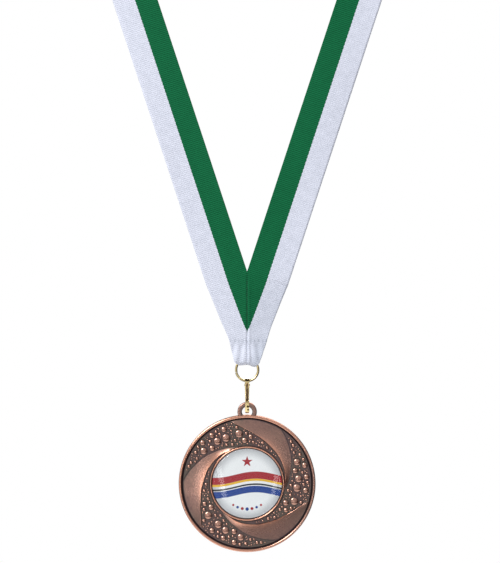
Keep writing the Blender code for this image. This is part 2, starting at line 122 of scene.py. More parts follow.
def make_world():
    """White behind the object; a sky that dims towards the lower right lights it."""
    world = bpy.data.worlds.new("studio")
    world.use_nodes = True
    bpy.context.scene.world = world
    tree = world.node_tree
    tree.nodes.clear()
    output = new_node(tree, "OutputWorld")
    mix = new_node(tree, "MixShader")
    seen = new_node(tree, "Background")
    sky = new_node(tree, "Background")
    rays = new_node(tree, "LightPath")
    place = new_node(tree, "TexCoord")
    towards = new_node(tree, "VectorMath", operation="DOT_PRODUCT")
    ramp = new_node(tree, "ValToRGB")
    to_unit = new_node(tree, "MapRange")
    put_all(tree, seen, {"Color": (1, 1, 1), "Strength": 1.0})
    put(tree, sky.inputs["Strength"], SKY_STRENGTH)
    put(tree, to_unit.inputs["From Min"], -1.0)
    put(tree, towards.inputs[1], SKY_BRIGHT_SIDE)
    stops = ramp.color_ramp.elements
    stops[0].position, stops[0].color = 0.0, (0.10, 0.08, 0.075, 1)
    stops[1].position, stops[1].color = 1.0, (1.0, 1.0, 1.0, 1)
    for position, colour in ((0.36, (0.16, 0.14, 0.14, 1)),
                             (0.52, (0.42, 0.42, 0.45, 1)),
                             (0.68, (0.92, 0.94, 1.0, 1))):
        stops.new(position).color = colour
    put(tree, towards.inputs[0], place.outputs["Generated"])
    put(tree, to_unit.inputs["Value"], towards.outputs["Value"])
    put(tree, ramp.inputs["Fac"], to_unit.outputs["Result"])
    put(tree, sky.inputs["Color"], ramp.outputs["Color"])
    put(tree, mix.inputs["Fac"], rays.outputs["Is Camera Ray"])
    put(tree, mix.inputs[1], sky.outputs[0])
    put(tree, mix.inputs[2], seen.outputs[0])
    put(tree, output.inputs["Surface"], mix.outputs[0])


def make_lights():
    look = (0, 0, 0.05)
    add_softbox("key", (-0.60, -0.70, 0.70), look, (0.55, 0.55), 11.0)
    add_softbox("back_fill", (0.2, 0.9, 0.6), look, (0.6, 0.6), 14.0)
    add_softbox("left_strip", (-0.142, -0.64, -0.065), (0, 0, 0), (0.026, 0.200), 0.085, roll=10)
    add_softbox("right_strip", (0.148, -0.64, -0.095), (0, 0, 0), (0.022, 0.110), 0.034, roll=-8)


FLOOR_DROP = 0.30
FLOOR_RADIUS = 0.5


def make_floor():
    bm = bmesh.new()
    bmesh.ops.create_circle(bm, cap_ends=True, segments=96, radius=FLOOR_RADIUS)
    mesh = bpy.data.meshes.new("floor")
    bm.to_mesh(mesh)
    bm.free()
    floor = link_object("floor", mesh)
    floor.location = (0, CENTRE.y, cad_box[0][2] - FLOOR_DROP)
    material, tree, shader = new_material("pale_floor")
    put_all(tree, shader, {"Base Color": (0.86, 0.86, 0.86), "Roughness": 0.8})
    mesh.materials.append(material)


def make_stage():
    bpy.context.scene.view_settings.view_transform = "Standard"
    make_camera()
    make_world()
    make_lights()
    make_floor()


# ---- material helpers ----

def new_material(name):
    material = bpy.data.materials.new(name)
    material.use_nodes = True
    tree = material.node_tree
    return material, tree, tree.nodes["Principled BSDF"]


def new_node(tree, kind, **settings):
    node = tree.nodes.new("ShaderNode" + kind)
    for name, value in settings.items():
        setattr(node, name, value)
    return node


def put(tree, socket, value):
    """Links a socket to another, or gives it a plain value."""
    if isinstance(value, bpy.types.NodeSocket):
        tree.links.new(value, socket)
    elif isinstance(value, tuple) and len(value) == 3 and socket.type == "RGBA":
        socket.default_value = (*value, 1.0)
    else:
        socket.default_value = value


def put_all(tree, node, values):
    for name, value in values.items():
        put(tree, node.inputs[name], value)


def calc(tree, operation, first, second=0.0, third=None):
    """A Math node's result."""
    node = new_node(tree, "Math", operation=operation)
    put(tree, node.inputs[0], first)
    put(tree, node.inputs[1], second)
    if third is not None:
        put(tree, node.inputs[2], third)
    return node.outputs[0]


def times(tree, first, second):
    return calc(tree, "MULTIPLY", first, second)


def plus(tree, first, second):
    return calc(tree, "ADD", first, second)


def minus(tree, first, second):
    return calc(tree, "SUBTRACT", first, second)


def squares(tree, across, up):
    """The square of a flat vector's length."""
    return plus(tree, times(tree, across, across), times(tree, up, up))


def smooth_step(tree, value, low, high, to_low=0.0, to_high=1.0):
    node = new_node(tree, "MapRange", interpolation_type="SMOOTHSTEP")
    put_all(tree, node, {"Value": value, "From Min": low, "From Max": high,
                         "To Min": to_low, "To Max": to_high})
    return node.outputs["Result"]


def blend_colour(tree, factor, first, second, kind="MIX"):
    node = new_node(tree, "Mix", data_type="RGBA", blend_type=kind)
    put_all(tree, node, {"Factor": factor, "A": first, "B": second})
    return node.outputs["Result"]


def noise(tree, vector, scale, detail=2.0, roughness=0.5):
    node = new_node(tree, "TexNoise")
    put_all(tree, node, {"Vector": vector, "Scale": scale, "Detail": detail,
                         "Roughness": roughness})
    return node.outputs["Fac"]


def parts_of(tree, vector):
    """A vector's three numbers."""
    node = new_node(tree, "SeparateXYZ")
    put(tree, node.inputs[0], vector)
    return node.outputs[0], node.outputs[1], node.outputs[2]


def stored(tree, name):
    """A stored vector attribute, and its three numbers."""
    vector = new_node(tree, "Attribute", attribute_name=name).outputs["Vector"]
    return vector, *parts_of(tree, vector)


def object_place(tree):
    return new_node(tree, "TexCoord").outputs["Object"]


def scaled(tree, vector, factors):
    node = new_node(tree, "VectorMath", operation="MULTIPLY")
    put(tree, node.inputs[0], vector)
    put(tree, node.inputs[1], factors)
    return node.outputs[0]


def add_bump(tree, shader, height, distance, strength=1.0):
    node = new_node(tree, "Bump")
    put_all(tree, node, {"Distance": distance, "Strength": strength, "Height": height})
    put(tree, shader.inputs["Normal"], node.outputs["Normal"])


# ---- materials ----

RIB_PITCH = 0.70
WARP_PITCH = 0.32
COLOUR_SPLIT = 7.9
COLOUR_STAGGER = 0.045
WHITE_YARN = (0.665, 0.685, 0.768)
WHITE_VALLEY_SHADE = (0.585, 0.615, 0.725)
GREEN_YARN = (0.006, 0.145, 0.052)
GREEN_VALLEY_SHADE = (0.0005, 0.060, 0.022)


def tape_material():
    """Ribbed tape, half white and half green, from its stored weave places and painted shade."""
    material, tree, shader = new_material("woven_tape")
    vector, across, along, painted_shade = stored(tree, "weave_and_painted_shade")
    rib_phase = times(tree, along, pi / RIB_PITCH)
    rib = calc(tree, "ABSOLUTE", calc(tree, "SINE", rib_phase))
    warp_phase = times(tree, across, 2 * pi / WARP_PITCH)
    rib_side = calc(tree, "SIGN", calc(tree, "SINE", rib_phase))
    rib_half = times(tree, rib_side, pi / 2)
    warp = calc(tree, "COSINE", plus(tree, warp_phase, rib_half))
    fuzz = noise(tree, vector, 9.0, 3.0, 0.6)
    cloudy = noise(tree, vector, 0.35, 2.0)
    height = plus(tree, calc(tree, "POWER", rib, 0.7),
                  calc(tree, "MULTIPLY_ADD", warp, 0.13, times(tree, fuzz, 0.25)))
    split_at = plus(tree, times(tree, rib_side, COLOUR_STAGGER), COLOUR_SPLIT)
    is_white = smooth_step(tree, minus(tree, across, split_at), -0.04, 0.04)
    # Painted shade: the rib valleys are coloured darker than the rib tops.
    lift = smooth_step(tree, plus(tree, rib, times(tree, warp, 0.12)), 0.0, 0.95)
    white = blend_colour(tree, lift, WHITE_VALLEY_SHADE, WHITE_YARN)
    green = blend_colour(tree, lift, GREEN_VALLEY_SHADE, GREEN_YARN)
    colour = blend_colour(tree, is_white, green, white)
    mottled = blend_colour(tree, smooth_step(tree, cloudy, 0.3, 0.7, 0.0, 0.10), colour,
                           (0.35, 0.40, 0.42), "MULTIPLY")
    # Painted shade: the stored amount darkens the tape towards bluish grey in the crease, at the
    # stitch holes and on the right panel's turned part.
    shaded = blend_colour(tree, painted_shade, mottled, (0.36, 0.42, 0.44), "MULTIPLY")
    put_all(tree, shader, {"Base Color": shaded,
                           "Roughness": smooth_step(tree, fuzz, 0.2, 0.8, 0.62, 0.85),
                           "Sheen Weight": 0.02, "Specular IOR Level": 0.08})
    add_bump(tree, shader, height, 0.00009, 0.8)
    return material


def thread_material(name, colour, lower_colour=None):
    """Twisted sewing thread: fine slanting plies; it may change colour below the green."""
    material, tree, shader = new_material(name)
    place = object_place(tree)
    wave = new_node(tree, "TexWave", wave_type="BANDS", bands_direction="DIAGONAL")
    put_all(tree, wave, {"Scale": 1400.0, "Distortion": 0.6, "Vector": place})
    base = colour
    if lower_colour:
        split_z = CENTRE.z + SPLIT_MEETS_Z
        height = parts_of(tree, place)[2]
        upper = smooth_step(tree, height, split_z - 0.2 * MM, split_z + 0.2 * MM)
        base = blend_colour(tree, upper, lower_colour, colour)
    plies = blend_colour(tree, wave.outputs["Fac"], (0.55, 0.55, 0.55), (1.0, 1.0, 1.0))
    put_all(tree, shader, {"Base Color": blend_colour(tree, 1.0, base, plies, "MULTIPLY"),
                           "Roughness": smooth_step(tree, wave.outputs["Fac"], 0, 1, 0.6, 0.8)})
    add_bump(tree, shader, wave.outputs["Fac"], 0.00003)
    return material


def from_centre(tree):
    """The three parts of places from the medal's centre, in millimetres."""
    centred = new_node(tree, "VectorMath", operation="SUBTRACT")
    put(tree, centred.inputs[0], object_place(tree))
    put(tree, centred.inputs[1], CENTRE)
    return parts_of(tree, scaled(tree, centred.outputs[0], (1 / MM, 1 / MM, 1 / MM)))


def oval(tree, x, z, middle, reach, soft=0.6):
    """1 inside an oval, in millimetres."""
    across = calc(tree, "DIVIDE", minus(tree, x, middle[0]), reach[0])
    up = calc(tree, "DIVIDE", minus(tree, z, middle[1]), reach[1])
    return smooth_step(tree, squares(tree, across, up), 1 - soft, 1 + soft, 1.0, 0.0)


def painted_shade_sides(tree):
    """Painted shade: darker on the flanks, and most on the lower right ones, where the plating would
    mirror a dark room.
    """
    x, y, z = parts_of(tree, new_node(tree, "TexCoord").outputs["Normal"])
    flank = smooth_step(tree, calc(tree, "ABSOLUTE", y), 0.05, 0.70, 0.60, 0.0)
    under = minus(tree, times(tree, x, 0.65), z)
    return calc(tree, "MAXIMUM", flank, smooth_step(tree, under, -0.05, 0.55, 0.0, 0.92))


GOLD = (0.80, 0.66, 0.34)
GOLD_DEEP = (0.68, 0.53, 0.25)
GOLD_WORN = (0.42, 0.30, 0.15)
GOLD_SHADED = (0.20, 0.125, 0.065)
GOLD_PAINTED_SHADE = (0.130, 0.078, 0.030)
GOLD_HOLLOW_SHADE = (0.035, 0.022, 0.010)


def gold_material(name="gold_plate", painted_shade_spots=(), painted_shade_middle=None, painted_side_shade=0.0):
    """Bright gold plating: faint colour drift and fine scuffs, with painted shade in listed hollows,
    down a middle and on the flanks.
    """
    material, tree, shader = new_material(name)
    place = object_place(tree)
    drift = noise(tree, place, 350.0, 3.0)
    scuffs = noise(tree, scaled(tree, place, (1.0, 1.0, 0.15)), 4200.0, 4.0, 0.7)
    bright = blend_colour(tree, smooth_step(tree, drift, 0.3, 0.7), GOLD, GOLD_DEEP)
    worn = smooth_step(tree, scuffs, 0.55, 0.75)
    colour = blend_colour(tree, worn, bright, GOLD_WORN)
    x, y, z = from_centre(tree)
    front = smooth_step(tree, y, -0.15, -0.45)
    # Painted shade: dark spots on the front stand for the shade inside the strip's holes and hollows.
    for middle, reach in painted_shade_spots:
        spot = times(tree, oval(tree, x, z, middle, reach), front)
        colour = blend_colour(tree, spot, colour, GOLD_HOLLOW_SHADE)
    # Painted shade: the middle, which lies deep in the strip's channel, is coloured darker.
    if painted_shade_middle:
        inside = smooth_step(tree, calc(tree, "ABSOLUTE", x), painted_shade_middle - 0.12, painted_shade_middle,
                             1.0, 0.0)
        colour = blend_colour(tree, inside, colour, GOLD_SHADED)
    # Painted shade on the flanks, strongest on the lower right ones.
    colour = blend_colour(tree, times(tree, painted_shade_sides(tree), painted_side_shade), colour, GOLD_PAINTED_SHADE)
    put_all(tree, shader, {"Base Color": colour, "Metallic": 1.0,
                           "Roughness": smooth_step(tree, scuffs, 0.3, 0.8, 0.12, 0.34)})
    add_bump(tree, shader, scuffs, 0.000012)
    return material


COPPER_BRIGHT = (0.80, 0.40, 0.27)
COPPER_WORN = (0.46, 0.26, 0.20)
PATINA = (0.130, 0.092, 0.090)
PATINA_OLIVE = (0.128, 0.108, 0.092)
PATINA_DEEP = (0.022, 0.014, 0.018)


def copper_material():
    """Antique copper: polished where it stands proud, patina where it is low.

    The stored relief holds polish, lowered on the rim's lower right as painted shade, then brush
    places along and across a blade.
    """
    material, tree, shader = new_material("antique_copper")
    polish, streak_across, streak_along = stored(tree, "relief")[1:]
    place = object_place(tree)
    grain = noise(tree, place, 2600.0, 4.0, 0.65)
    blotch = noise(tree, place, 260.0, 3.0, 0.55)
    streak_place = new_node(tree, "CombineXYZ")
    put(tree, streak_place.inputs[0], times(tree, streak_across, 7.0))
    put(tree, streak_place.inputs[1], times(tree, streak_along, 0.5))
    brushed = noise(tree, streak_place.outputs[0], 1.0, 4.0, 0.6)
    wobble = calc(tree, "MULTIPLY_ADD", minus(tree, blotch, 0.5), 0.22,
                  times(tree, minus(tree, grain, 0.5), 0.45))
    streaks = times(tree, minus(tree, brushed, 0.5), 0.30)
    level = plus(tree, plus(tree, polish, wobble), streaks)
    olive = smooth_step(tree, noise(tree, place, 110.0, 2.0), 0.40, 0.65)
    patina = blend_colour(tree, olive, PATINA, PATINA_OLIVE)
    low = blend_colour(tree, smooth_step(tree, level, -0.35, 0.12), PATINA_DEEP, patina)
    mid = blend_colour(tree, smooth_step(tree, level, 0.12, 0.62), low, COPPER_WORN)
    top = blend_colour(tree, smooth_step(tree, level, 0.55, 1.0), mid, COPPER_BRIGHT)
    rough = smooth_step(tree, level, 0.0, 0.7, 0.48, 0.20)
    put_all(tree, shader, {
        "Base Color": top, "Metallic": smooth_step(tree, level, -0.3, 0.5, 0.55, 1.0),
        "Specular Tint": (0.60, 0.42, 0.35),
        "Roughness": calc(tree, "MULTIPLY_ADD", minus(tree, brushed, 0.5), 0.16, rough)})
    height = plus(tree, times(tree, grain, 0.5), times(tree, brushed, 0.5))
    add_bump(tree, shader, height, 0.00004, 0.7)
    return material


# ---- geometry helpers ----

def add_piece(name, mesh, material, body, replaced):
    """Links a piece, gives it its material and tells the frame what it is."""
    obj = link_object(name, mesh)
    mesh.materials.append(material)
    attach(obj, body)
    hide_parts(*replaced)
    return obj


def finish_mesh(bm, name, sharp=None):
    mesh = bpy.data.meshes.new(name)
    bm.to_mesh(mesh)
    bm.free()
    mesh.shade_smooth()
    if sharp is not None:
        mesh.set_sharp_from_angle(angle=radians(sharp))
    return mesh


def bell(value, reach):
    """1 where the value is 0, falling away on both sides."""
    return exp(-(value / reach) ** 2)


def ease(value):
    """Smooth from 0 to 1."""
    value = min(max(value, 0.0), 1.0)
    return value * value * (3 - 2 * value)


def spun(radius, angle, y=0.0):
    """A point at an angle round the Y axis."""
    return Vector((radius * cos(angle), y, radius * sin(angle)))


def join_rows(bm, rows, closed=False, flip=False):
    """Faces between neighbouring rows of vertices."""
    for here, after in zip(rows, rows[1:]):
        for index in range(len(here) if closed else len(here) - 1):
            beyond = (index + 1) % len(here)
            corners = (here[index], after[index], after[beyond], here[beyond])
            bm.faces.new(corners[::-1] if flip else corners)


def along_points(points, at):
    """A smooth value between (place, value) points, in rising place."""
    if at <= points[0][0]:
        return points[0][1]
    last = len(points) - 1
    for index in range(last):
        x1, y1 = points[index]
        x2, y2 = points[index + 1]
        if at <= x2:
            x0, y0 = points[max(index - 1, 0)]
            x3, y3 = points[min(index + 2, last)]
            slope1 = (y2 - y0) / (x2 - x0)
            slope2 = (y3 - y1) / (x3 - x1)
            step = x2 - x1
            t = (at - x1) / step
            return ((2 * t ** 3 - 3 * t ** 2 + 1) * y1 + (t ** 3 - 2 * t ** 2 + t) * step * slope1
                    + (3 * t ** 2 - 2 * t ** 3) * y2 + (t ** 3 - t ** 2) * step * slope2)
    return points[-1][1]


# ---- ribbon ----
# The tape follows the same route as its solid: straight legs that lean out of
# the V, a bend over the shoulders with a twist, and a bend round the nape.

TAPE_WIDTH = 15.8 * MM
TAPE_T = 0.42 * MM
LEG_LEAN = radians(18.24)
LEG_LENGTH = 380.0 * MM
LEG_Y = -0.3 * MM
APEX_Z = 77.5 * MM
SHOULDER_BEND = (radians(90.85), 210 * MM, 62 * MM)
SHOULDER_TWIST = (radians(79.42), 265 * MM, 105 * MM)
NAPE_BEND = (radians(159.85), LEG_LENGTH, 150 * MM)
ROUTE_STEP = 1.0 * MM
ROW_EVERY = 2
V_OUTLINE = ((45.0, 4.8), (47.6, 5.45), (51.4, 6.35), (53.7, 7.1),
             (59.8, 9.8), (66.5, 12.5), (72.56, 15.0))
SPLIT_MEETS_Z = 55.2 * MM
HEM_Z = 52.0 * MM
HEM_END_Z = 53.2 * MM
FLAP_Y = 0.2 * MM
TUNNEL_TOP_Z = 51.2 * MM
FOLD_SIDE_Z = 45.0 * MM
FOLD_BOTTOM_Z = 43.37 * MM
FOLD_DEPTH = 1.75 * MM
FOLD_SIDE_HALF = 4.8 * MM
FOLD_BOTTOM_HALF = 2.85 * MM
FOLD_ROWS = 22
FOLD_SLANT = 0.75 * MM
FOLD_ARCH = 0.12 * MM
# The tunnel's mouths open a little, which keeps the swinging ring clear of the tape.
MOUTH_FLARE = 0.30
LEFT_SLANT = 0.25
# At the fold the mitre has taken in the tape's inner side, and the rest shows.
GATHERED_INNER = 8.9 * MM
GATHERED_SHOWN = 6.9 * MM
RIGHT_TILT = 0.05
RIGHT_FULLNESS = 0.7 * MM
V_ROW = 0.5 * MM
COLUMNS = 26
COLUMN_CROWDING = 1.25
STITCH_PITCH = 1.45 * MM


def swell(place, middle, half_length):
    reach = (place - middle) / half_length
    if abs(reach) >= 1:
        return 0.0
    return 0.5 * (1 + cos(pi * reach)) / half_length


def leg_route():
    along = Vector((sin(LEG_LEAN), 0, cos(LEG_LEAN)))
    face = Vector((0, -1, 0))
    across = along.cross(face)
    centre = Vector((0, LEG_Y, APEX_Z)) + across * TAPE_WIDTH / 2
    route = [(centre.copy(), along.copy(), face.copy())]
    for step in range(round(LEG_LENGTH / ROUTE_STEP)):
        place = (step + 0.5) * ROUTE_STEP
        bend = sum(turn * swell(place, middle, half)
                   for turn, middle, half in (SHOULDER_BEND, NAPE_BEND))
        twist = SHOULDER_TWIST[0] * swell(place, *SHOULDER_TWIST[1:])
        turn = (along * twist - across * bend) * ROUTE_STEP
        before = along
        if turn.length > 0:
            rotation = Quaternion(turn.normalized(), turn.length)
            along = (rotation @ along).normalized()
            face = (rotation @ face).normalized()
            across = along.cross(face)
        centre = centre + (before + along) * ROUTE_STEP / 2
        route.append((centre.copy(), along.copy(), face.copy()))
    return route


def bulge(z):
    return ease((TUNNEL_TOP_Z - z) / (TUNNEL_TOP_Z - FOLD_SIDE_Z))


def half_width(z, side=-1):
    width = along_points([(height * MM, half * MM) for height, half in V_OUTLINE], z)
    if side > 0:
        width += RIGHT_FULLNESS * bell(z - HEM_Z, 4.5 * MM)
    return width


def tape_across(x, z):
    """The tape's own place, from its inner edge, of a point of the V."""
    drop = max(APEX_Z - z, 0.0)
    straight = drop * sin(LEG_LEAN)
    gathered = (0.5 * TAPE_WIDTH / ((APEX_Z - SPLIT_MEETS_Z) * sin(LEG_LEAN)) - 1)
    start = straight * (1 + gathered * (drop / (APEX_Z - SPLIT_MEETS_Z)) ** 2)
    start = min(start, GATHERED_INNER)
    outer = half_width(z)
    if z > V_OUTLINE[-1][0] * MM:
        outer = (TAPE_WIDTH - straight) / cos(LEG_LEAN)
    return start + (TAPE_WIDTH - start) * x / max(outer, x)


def rib_place(x, z):
    """The place along the tape of a point of the V."""
    return x * sin(LEG_LEAN) + (z - APEX_Z) * cos(LEG_LEAN)


def v_painted_shade(x, z, side):
    """How much painted shade a place of the V gets: in the crease, at the stitch holes, on the right
    panel where it turns away from the light, and below the hem there.
    """
    crease = bell(x, 0.20 * MM) * ease((APEX_Z - z) / (2 * MM))
    crease *= 0.85 - 0.60 * ease((SPLIT_MEETS_Z + 1 * MM - z) / (2 * MM))
    hole = 0.5 + 0.5 * cos(2 * pi * x / STITCH_PITCH)
    hem = 0.30 * hole * bell(z - HEM_Z, 0.5 * MM)
    turned = 0.0
    if side > 0:
        turned = 0.15 * ease(x / (1.6 * MM)) * ease((APEX_Z - z) / (14 * MM))
        turned += 0.16 * ease((x - 1.5 * MM) / (2 * MM)) * ease((HEM_Z + 2 * MM - z) / (6 * MM))
    return min(max(crease, hem) + turned, 1.0)


def v_point(x, z, y, side, share=1.0):
    """A point of the front panel, with its crease, ridge, hem and gathers."""
    off_seam = ease(x / (0.6 * MM))
    depth_in_v = ease((APEX_Z - z) / (6 * MM))
    crease = 0.20 * MM * bell(x, 0.26 * MM)
    ridge = -0.15 * MM * bell(x - 0.75 * MM, 0.45 * MM) * off_seam
    shift = depth_in_v * (crease + ridge * (1.0 if side > 0 else 0.4))
    dimple = 0.5 + 0.5 * cos(2 * pi * x / STITCH_PITCH)
    shift += 0.16 * MM * dimple * bell(z - HEM_Z, 0.4 * MM)
    below = ease((HEM_Z - z) / (2 * MM)) * ease(x / (1.6 * MM))
    shift += below * 0.17 * MM * sin(x / MM * 2.1 + side + (z / MM) * 0.35)
    if side > 0:
        shift += RIGHT_TILT * x * ease((APEX_Z - z) / (9 * MM)) * ease((z - HEM_Z) / (7 * MM))
    return Vector((side * x, y + shift * share, z))


def tape_rows(side):
    """Rows of (point, weave places and painted shade) from the nape to the back flap's end."""
    rows = []
    # Places across the half tape, closer together by the seam.
    fractions = [(column / COLUMNS) ** COLUMN_CROWDING for column in range(COLUMNS + 1)]
    frames = leg_route()[::ROW_EVERY]
    count = len(frames)
    for index in range(count - 1, -1, -1):
        centre, along, face = frames[index]
        across = along.cross(face)
        place = index * ROW_EVERY * ROUTE_STEP
        row = []
        for fraction in fractions:
            point = centre + across * TAPE_WIDTH * (fraction - 0.5)
            wave = 0.22 * MM * sin(place / MM / 17.0 + side) * (2 * fraction - 1) ** 2
            wave *= ease(place / (30 * MM)) * ease((LEG_LENGTH - place) / (30 * MM))
            point += face * wave
            if index == count - 1:
                point.x = 0.0
            row.append((Vector((side * point.x, point.y, point.z)),
                        (fraction * TAPE_WIDTH / MM, place / MM, 0.0)))
        rows.append(row)
    tilt = APEX_Z - V_OUTLINE[-1][0] * MM
    steps = round((APEX_Z - FOLD_SIDE_Z) / V_ROW)
    for step in range(1, steps):
        inner = APEX_Z - step * V_ROW
        slope = tilt * max(0.0, (inner - TUNNEL_TOP_Z) / (APEX_Z - TUNNEL_TOP_Z))
        width = half_width(inner - slope, side)
        row = []
        for fraction in fractions:
            x = width * fraction
            z = inner - slope * fraction
            y = LEG_Y - (FOLD_DEPTH + LEG_Y) * bulge(z)
            painted_shade = v_painted_shade(x, z, side)
            row.append((v_point(x, z, y, side),
                        (tape_across(x, z) / MM, rib_place(x, z) / MM, painted_shade)))
        rows.append(row)
    place = rib_place(0, FOLD_SIDE_Z)
    last = None
    for step in range(FOLD_ROWS + 1):
        angle = pi * step / FOLD_ROWS
        y = -FOLD_DEPTH * cos(angle)
        z = FOLD_SIDE_Z - (FOLD_SIDE_Z - FOLD_BOTTOM_Z) * sin(angle)
        width = FOLD_BOTTOM_HALF + (FOLD_SIDE_HALF - FOLD_BOTTOM_HALF) * cos(angle) ** 2
        if last:
            place -= hypot(y - last[0], z - last[1])
        last = (y, z)
        row = []
        for fraction in fractions:
            x = width * fraction
            u = GATHERED_INNER + GATHERED_SHOWN * fraction
            lean = sin(LEG_LEAN) * width * fraction
            dark = v_painted_shade(x, z, side)
            slant = FOLD_SLANT * (1.0 if side > 0 else LEFT_SLANT) * ease(x / width)
            drop = (slant - FOLD_ARCH) * sin(angle)
            mouth = 1 + MOUTH_FLARE * fraction ** 3 * sin(angle)
            point = v_point(x, z - drop, y * mouth, side, ease(1 - angle))
            row.append((point, (u / MM, (place + lean) / MM, dark)))
        rows.append(row)
    steps = round((HEM_END_Z - FOLD_SIDE_Z) / V_ROW)
    for step in range(1, steps + 1):
        z = FOLD_SIDE_Z + (HEM_END_Z - FOLD_SIDE_Z) * step / steps
        y = FLAP_Y + (FOLD_DEPTH - FLAP_Y) * bulge(z)
        width = half_width(z)
        row = []
        for fraction in fractions:
            x = width * fraction
            row.append((Vector((side * x, y, z)),
                        ((GATHERED_INNER + GATHERED_SHOWN * fraction) / MM,
                         (place - (z - FOLD_SIDE_Z) + sin(LEG_LEAN) * x) / MM, 0.0)))
        rows.append(row)
    return rows


def make_ribbon():
    bm = bmesh.new()
    weave_and_painted_shade = bm.verts.layers.float_vector.new("weave_and_painted_shade")
    for side in (1, -1):
        grid = []
        for row in tape_rows(side):
            line = []
            for point, data in row:
                vert = bm.verts.new(point + CENTRE)
                vert[weave_and_painted_shade] = data
                line.append(vert)
            grid.append(line)
        join_rows(bm, grid, flip=side < 0)
    bmesh.ops.remove_doubles(bm, verts=bm.verts, dist=0.00001)
    mesh = finish_mesh(bm, "ribbon_tape")
    ribbon = add_piece("ribbon_tape", mesh, tape_material(), "ribbon", ["neck_ribbon"])
    thickness = ribbon.modifiers.new("tape_thickness", "SOLIDIFY")
    thickness.thickness = TAPE_T
    thickness.offset = 0.0


# ---- thread, ring and clip ----

THREAD_R = 0.085 * MM


def make_tube(name, points, radius):
    """A smooth tube along points, as a mesh."""
    curve = bpy.data.curves.new(name, "CURVE")
    curve.dimensions = "3D"
    curve.bevel_depth = radius
    curve.bevel_resolution = 5
    curve.use_fill_caps = True
    spline = curve.splines.new("POLY")
    spline.points.add(len(points) - 1)
    for place, point in zip(spline.points, points):
        place.co = (*point, 1.0)
    holder = link_object(name, curve)
    mesh = bpy.data.meshes.new_from_object(
        holder.evaluated_get(bpy.context.evaluated_depsgraph_get()))
    bpy.data.objects.remove(holder)
    bpy.data.curves.remove(curve)
    mesh.name = name
    mesh.shade_smooth()
    return mesh


def stitch_line(start, step, stitches, outward):
    """Points of a lockstitch: proud in the middle of a stitch, sunk at its holes."""
    points = []
    for index in range(stitches * 8 + 1):
        phase = index / 8
        lift = 0.10 * MM * abs(sin(pi * phase)) ** 0.6 - 0.05 * MM
        points.append(start + step * phase + Vector((0, outward * lift, 0)))
    return points


def make_threads():
    # The seam thread is real green thread, coloured darker than the tape as painted shade of the
    # crease it lies in.
    seam_thread = thread_material("seam_thread", (0.004, 0.05, 0.025), (0.66, 0.70, 0.78))
    hem_thread = thread_material("hem_thread", (0.72, 0.75, 0.84))
    face = TAPE_T / 2
    seam_step = Vector((0, 0, 2.3 * MM))
    hem_step = Vector((STITCH_PITCH, 0, 0))
    for side, outward, hem_y, sink in (("front", -1, LEG_Y, 0.22 * MM), ("back", 1, FLAP_Y, 0.0)):
        seam_start = Vector((0, LEG_Y + outward * (face - sink), 53.9 * MM))
        seam = [point + CENTRE for point in stitch_line(seam_start, seam_step, 10, outward)]
        node = "mitre_seam_thread_" + side
        add_piece("seam_thread_" + side, make_tube(node, seam, THREAD_R), seam_thread,
                  "ribbon", [node])
        hem_start = Vector((-4 * STITCH_PITCH, hem_y + outward * (face - sink * 0.75), HEM_Z))
        hem = [point + CENTRE for point in stitch_line(hem_start, hem_step, 8, outward)]
        node = "hem_thread_" + side
        add_piece("hem_line_" + side, make_tube(node, hem, THREAD_R), hem_thread,
                  "ribbon", [node])


RING_MEAN_R = 4.055 * MM
WIRE_R = 0.45 * MM
RING_JOINT_ANGLE = radians(193)
RING_JOINT_GAP = 0.10 * MM
RING_OFFSET = 0.05 * MM


def make_ring(gold):
    """Round wire whose two cut ends don't quite meet."""
    segments = 160
    gap = RING_JOINT_GAP / RING_MEAN_R
    points = []
    for index in range(segments + 1):
        share = index / segments
        angle = RING_JOINT_ANGLE + gap / 2 + (2 * pi - gap) * share
        radius = RING_MEAN_R - RING_OFFSET * ease((share - 0.8) / 0.2)
        side = 0.05 * MM * (ease((0.12 - share) / 0.12) - ease((share - 0.88) / 0.12))
        points.append(CENTRE + Vector((radius * cos(angle), side,
                                       RING_ABOVE_CENTRE + radius * sin(angle))))
    add_piece("jump_ring_wire", make_tube("jump_ring_wire", points, WIRE_R), gold,
              "ring", ["jump_ring"])


def nose_taper(z):
    """How much of its full width the strip keeps: less at the nose and its foot."""
    nose = 0.80 + 0.20 * ease((z - 31 * MM) / (3 * MM)) + 0.18 * ease((28.5 * MM - z) / (1.8 * MM))
    return nose * (0.55 + 0.45 * ease((z - 25.4 * MM) / (1.2 * MM)) ** 0.6)


def rounded_copy(name, node, bevel, material, body, taper=None):
    """A CAD node's own shape with its edges rounded over."""
    bm = bmesh.new()
    bm.from_mesh(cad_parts[node].data)
    bmesh.ops.remove_doubles(bm, verts=bm.verts, dist=0.000002)
    bmesh.ops.dissolve_limit(bm, angle_limit=radians(1.5), verts=bm.verts, edges=bm.edges)
    bm.normal_update()
    edges = [edge for edge in bm.edges
             if len(edge.link_faces) == 2 and edge.calc_face_angle() > radians(40)]
    bmesh.ops.bevel(bm, geom=edges, offset=bevel, offset_type="OFFSET", segments=3,
                    profile=0.5, affect="EDGES", clamp_overlap=True)
    if taper:
        for vert in bm.verts:
            vert.co.x *= taper(vert.co.z - CENTRE.z)
    return add_piece(name, finish_mesh(bm, name, 40), material, body, [node])


